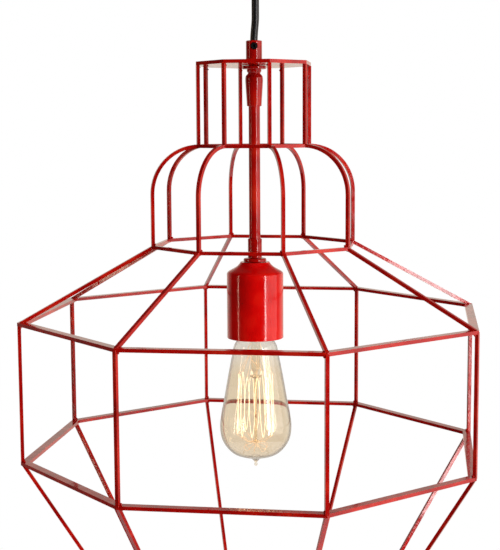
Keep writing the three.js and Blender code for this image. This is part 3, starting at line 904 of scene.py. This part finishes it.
def make_cap():
    before = [
        (0, -58.3), (9.8, -58.3), (11.8, -60.3), (11.8, CAP_RIM), (12.9, CAP_RIM),
        (13.1, -77.2), (13.1, -73.6),
    ]
    heights = evenly(-73.3, -58, 56)
    after = [(11.4, -56.8), (10.2, -55.9), (9.9, -55.8), (6.6, -54.7), (0, -54.5)]
    mesh = threaded("threaded_cap", before, CAP_THREAD, heights, after)
    finish_mesh("threaded_cap", mesh, "bulb", nickel, ("bulb_cap",))
    insulator = plastic("black_vitrite", (0.012, 0.011, 0.014), (0.006, 0.006, 0.008), 0.25)
    ring = rounded([
        (5, -54.6, 0.1), (9.9, -55.75, 0.2), (8.4, -54.4, 0.6), (5, -54.32, 0.1),
    ])
    mesh = lathe("cap_insulator", ring, 64)
    finish_mesh("cap_insulator", mesh, "bulb", insulator)
    contact = rounded([
        (0, -54.0, 0), (4.8, -54.0, 0.3), (4.6, -52.4, 0.8), (3.0, -51.2, 0.8), (0, -51, 0),
    ])
    mesh = lathe("solder_contact", contact, 48)
    finish_mesh("solder_contact", mesh, "bulb_travel", zinc, ("bulb_contact",))


def make_mount():
    """The glass stem inside the bulb: a flare at the neck, a pinched tube and a long centre rod."""
    profile = [
        (0, -179.6), (1.0, -179.5), (1.9, -179), (2.2, -178), (1.9, -176.9), (1.35, -176),
        (1.3, -174), (1.3, -121), (1.9, -119.8), (4.8, -119.2), (5.2, -118.4), (4.8, -117.6),
        (1.9, -117), (1.7, -115),
        (2.8, -112.5), (3.8, -110.5), (4.0, -108), (4.0, -78), (4.2, -75),
        (5.2, -71), (7.5, -68), (9.7, -66.5), (10, -66), (9.8, -65.5), (0, -65.5),
    ]
    mesh = lathe("glass_mount", profile, 56)
    finish_mesh("glass_mount", mesh, "bulb", mount_glass, ("bulb_mount",), sharp=60)


HAIRPINS = 10
FILAMENT_TURN = 0.955
FILAMENT_TOP = (15, -113)
FILAMENT_BOTTOM = (17, -174)
FILAMENT_WIRE = 0.18
SUPPORT_WIRE = 0.17
LOOPS = 6
LOOP_SHAPE = ((1.4, 0, -179), (8.5, 1.2, -179.5), (11.5, 0.6, -182), (8, -0.8, -186), (1.2, 0, -180))


def filament_point(t):
    """A point along the squirrel cage. Its strands stand upright and turn sharply at both ends."""
    strand = t * HAIRPINS * 2 + 0.5
    middle = 2 * (strand % 1) - 1
    step = math.floor(strand) + 0.5 * math.copysign(abs(middle) ** 2, middle)
    turn = step / (HAIRPINS * 2) * FILAMENT_TURN * 2 * math.pi
    zigzag = 0.5 + math.asin(0.985 * math.sin(t * HAIRPINS * 2 * math.pi)) / math.pi
    radius = FILAMENT_BOTTOM[0] + (FILAMENT_TOP[0] - FILAMENT_BOTTOM[0]) * zigzag
    height = FILAMENT_BOTTOM[1] + (FILAMENT_TOP[1] - FILAMENT_BOTTOM[1]) * zigzag
    return Vector((radius * math.cos(turn) * MM, radius * math.sin(turn) * MM, lift(height)))


def make_filament():
    builder = bmesh.new()
    sweep_into(builder, [filament_point(t) for t in evenly(0, 1, 640)], FILAMENT_WIRE * MM)
    mesh = mesh_from("squirrel_cage", builder)
    finish_mesh("squirrel_cage", mesh, "bulb", glow, ("filament",), sharp=80)


def make_supports():
    """Wire arms that hold the filament's bends at both ends of the glass rod, the two leads, and
    the loops of wire below the rod."""
    builder = bmesh.new()
    for k in range(HAIRPINS):
        for bend, hub, droop in ((0.25, (3.2, -94), 1.5), (0.75, (1.6, -178.4), -2)):
            tip = filament_point((k + bend) / HAIRPINS)
            outward = Vector((tip.x, tip.y, 0)).normalized()
            start = outward * hub[0] * MM + Vector((0, 0, lift(hub[1])))
            middle = (start + tip) / 2 + Vector((0, 0, droop * MM))
            hook = tip + outward * 0.7 * MM - Vector((0, 0, 0.2 * MM * (1 if droop > 0 else -1)))
            sweep_into(builder, smooth_path([start, middle, tip, hook], 5), SUPPORT_WIRE * MM, sides=6)
    for k in range(LOOPS):
        angle = 2 * math.pi * (k + 0.5) / LOOPS
        outward = Vector((math.cos(angle), math.sin(angle), 0))
        sideways = Vector((-math.sin(angle), math.cos(angle), 0))
        points = []
        for out, aside, height in LOOP_SHAPE:
            points.append((outward * out + sideways * aside) * MM + Vector((0, 0, lift(height))))
        sweep_into(builder, smooth_path(points, 6), SUPPORT_WIRE * MM, sides=6)
    for t, side in ((0.0, 1), (1.0, -1)):
        tip = filament_point(t)
        points = [
            Vector((3.6 * side * MM, 0.8 * MM, lift(-88))),
            Vector((6.4 * side * MM, 1.6 * MM, lift(-98))),
            Vector((tip.x * 0.8, tip.y * 0.8, lift(-122))),
            tip,
        ]
        sweep_into(builder, smooth_path(points), 0.28 * MM)
    mesh = mesh_from("filament_supports", builder)
    # The wires carry painted glow from the filament's light, not light of their own.
    finish_mesh("filament_supports", mesh, "bulb", painted_glow_wire, sharp=80)


# ---- Cage ----

def ring_of(node):
    """The corner radius and height of a bar ring's middle line, in millimetres from the bell ring."""
    low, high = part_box(node)
    apothem = high.x / MM - BAR / 2
    return apothem / math.cos(FIRST_CORNER), (low.z + high.z) / 2 / MM + CEILING


def dress_bars():
    """Every cage bar keeps its CAD mesh, with softened edges and the paint."""
    kinds = ("crown_plate", "crown_cage", "_ring", "rib_", "post_")
    for name, node in nodes.items():
        if name.rstrip("12345678").endswith(kinds):
            node.data.materials.clear()
            node.data.materials.append(shaded_cage_paint)
            soften(node, 0.45)
            node.data.shade_smooth()
    bracket = nodes["rose_bracket"]
    bracket.data.materials.clear()
    bracket.data.materials.append(zinc)
    bracket.data.shade_smooth()
    soften(bracket, 0.3)


def bar_stub(builder, place, direction, lateral, length):
    """A short square bar from a ring's corner along a rib, which closes the weld gap."""
    upward = direction.cross(lateral)
    basis = Matrix((direction, lateral, upward)).transposed().to_4x4()
    verts = bmesh.ops.create_cube(builder, size=1)["verts"]
    thick = (BAR - 0.06) * MM
    bmesh.ops.scale(builder, verts=verts, vec=(length * MM, thick, thick))
    bmesh.ops.translate(builder, verts=verts, vec=(length * MM / 2, 0, 0))
    bmesh.ops.transform(builder, verts=verts, matrix=Matrix.Translation(place) @ basis)


def weld_bead(builder, dice, place, size):
    """A small lumpy bead of weld metal under the paint."""
    verts = bmesh.ops.create_icosphere(builder, subdivisions=3, radius=1)["verts"]
    stretch = Vector([size * dice.uniform(0.8, 1.2) for _ in range(3)]) * MM
    shift = Vector([dice.uniform(0, 50) for _ in range(3)])
    for vert in verts:
        lump = 1 + 0.22 * noise.noise(vert.co * 1.7 + shift)
        vert.co = place + Vector([c * s * lump for c, s in zip(vert.co, stretch)])


CROWN = (50, 86.6)


def joint_directions(ring, other):
    run, rise = other[0] - ring[0], other[1] - ring[1]
    length = math.hypot(run, rise)
    return run / length, rise / length


def make_welds():
    bell, upper = ring_of("bell_ring"), ring_of("upper_ring")
    lower, bottom = ring_of("lower_ring"), ring_of("bottom_ring")
    plate = (CROWN[0], PLATE_UNDERSIDE + 0.1)
    joints = {
        "crown_plate": (plate, [(0, -1)], 2.0),
        "crown_ring": (CROWN, [(1, 0)], 3.0),
        "bell_ring": (bell, [(0, 1), joint_directions(bell, upper)], 3.2),
        "upper_ring": (upper, [joint_directions(upper, bell), (0, -1)], 6.6),
        "lower_ring": (lower, [(0, 1), joint_directions(lower, bottom)], 3.6),
        "bottom_ring": (bottom, [joint_directions(bottom, lower)], 3.2),
    }
    for seed, (name, (ring, directions, reach)) in enumerate(joints.items()):
        dice = random.Random(seed + 11)
        bead_scale = 0.6 if reach < 3.1 else 1
        builder = bmesh.new()
        for corner in range(SIDES):
            angle = FIRST_CORNER + corner * CORNER_STEP
            outward = Vector((math.cos(angle), math.sin(angle), 0))
            lateral = Vector((-math.sin(angle), math.cos(angle), 0))
            place = outward * ring[0] * MM + Vector((0, 0, lift(ring[1])))
            for out, rise in directions:
                direction = outward * out + Vector((0, 0, rise))
                bar_stub(builder, place, direction, lateral, reach + 0.6)
                for side in (-1, 1):
                    spot = place + direction * dice.uniform(1.8, 2.6) * MM
                    spot += lateral * side * dice.uniform(1.1, 1.7) * MM
                    spot -= outward * dice.uniform(1.0, 1.9) * MM
                    weld_bead(builder, dice, spot, dice.uniform(0.95, 1.3) * bead_scale)
        mesh = mesh_from(f"welds_{name}", builder)
        finish_mesh(f"welds_{name}", mesh, "lamp", shaded_cage_paint)


# ---- Stage ----

FLOOR_DROP = 0.75
FLOOR_RADIUS = 1.5


def make_floor():
    pale = plastic("pale_floor", (0.93, 0.93, 0.925), (0.9, 0.9, 0.895), 0.6)
    shader = pale.node_tree.nodes["Principled BSDF"]
    shader.inputs["Emission Color"].default_value = (1, 1, 1, 1)
    shader.inputs["Emission Strength"].default_value = 0.4
    builder = bmesh.new()
    bmesh.ops.create_circle(builder, cap_ends=True, segments=96, radius=FLOOR_RADIUS)
    mesh = mesh_from("floor", builder)
    mesh.transform(Matrix.Translation((0, 0, cad_bounds[0].z - FLOOR_DROP)))
    mesh.materials.append(pale)
    floor = bpy.data.objects.new("floor", mesh)
    scene.collection.objects.link(floor)


def soft_box(name, azimuth, elevation, distance, size, power, colour=(1, 1, 1), mirrored=True, lit=True):
    """A soft light that faces the middle of the cage. One that is not mirrored leaves no highlight,
    and one that is not lit gives only a highlight."""
    light = bpy.data.lights.new(name, "AREA")
    light.shape = "RECTANGLE"
    light.size, light.size_y = size
    light.energy = power
    light.color = colour
    lamp = bpy.data.objects.new(name, light)
    scene.collection.objects.link(lamp)
    a, e = math.radians(azimuth), math.radians(elevation)
    away = Vector((math.sin(a) * math.cos(e), -math.cos(a) * math.cos(e), math.sin(e)))
    middle = Vector((0, 0, lift(-60)))
    lamp.location = middle + away * distance
    lamp.rotation_euler = away.to_track_quat("Z", "Y").to_euler()
    lamp.visible_glossy = mirrored
    lamp.visible_diffuse = lit


def make_world():
    """A white sheet low behind the lamp. The room in front and overhead is dim."""
    world = bpy.data.worlds.new("studio")
    world.use_nodes = True
    tree = world.node_tree
    background = tree.nodes["Background"]
    where = tree.nodes.new("ShaderNodeTexCoord").outputs["Generated"]
    parts = add_node(tree, "ShaderNodeSeparateXYZ")
    tree.links.new(where, parts.inputs[0])
    depth = span(tree, parts.outputs["Y"], 0.015, 0.8, start=0.2, end=0.75)
    low = span(tree, parts.outputs["Z"], 1, 0.12, start=0.2, end=0.5)
    total = add_node(tree, "ShaderNodeMath", operation="MULTIPLY")
    tree.links.new(depth, total.inputs[0])
    tree.links.new(low, total.inputs[1])
    rays = tree.nodes.new("ShaderNodeLightPath")
    seen = add_node(tree, "ShaderNodeMath", operation="MAXIMUM")
    tree.links.new(rays.outputs["Is Camera Ray"], seen.inputs[0])
    tree.links.new(rays.outputs["Is Transmission Ray"], seen.inputs[1])
    level = add_node(tree, "ShaderNodeMix", data_type="FLOAT")
    tree.links.new(seen.outputs[0], level.inputs[0])
    ambient = add_node(tree, "ShaderNodeMath", operation="MULTIPLY_ADD")
    tree.links.new(rays.outputs["Is Diffuse Ray"], ambient.inputs[0])
    ambient.inputs[1].default_value = 0.09
    tree.links.new(total.outputs[0], ambient.inputs[2])
    tree.links.new(ambient.outputs[0], level.inputs[2])
    level.inputs[3].default_value = 1.0
    colour = blend_colours(tree, seen.outputs[0], (1, 0.9, 0.78), (1, 1, 1))
    tree.links.new(colour, background.inputs["Color"])
    tree.links.new(level.outputs[0], background.inputs["Strength"])
    scene.world = world


make_rose()
make_rose_grip()
make_side_screws()
make_terminals()
make_collar()
make_grub_screw()
make_finial()
make_stem()
make_cup()
make_core()
make_screw_shell()
make_glass()
make_cap()
make_mount()
make_filament()
make_supports()
dress_bars()
make_welds()

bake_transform(hanging_cord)

make_floor()
make_world()
soft_box("key_light", azimuth=78, elevation=4, distance=1.85, size=(2.0, 1.8), power=15,
         colour=(1, 0.94, 0.9), lit=False)
soft_box("side_fill", azimuth=62, elevation=8, distance=2.0, size=(1.4, 1.6), power=50, mirrored=False)
soft_box("bright_strip", azimuth=50, elevation=4, distance=1.7, size=(0.15, 1.7), power=11, lit=False)
soft_box("side_strip", azimuth=-64, elevation=4, distance=1.5, size=(0.06, 1.4), power=2.6,
         colour=(1, 0.8, 0.6))
soft_box("top_light", azimuth=10, elevation=60, distance=2.2, size=(3.0, 2.2), power=16, mirrored=False)
scene.view_settings.view_transform = "Standard"
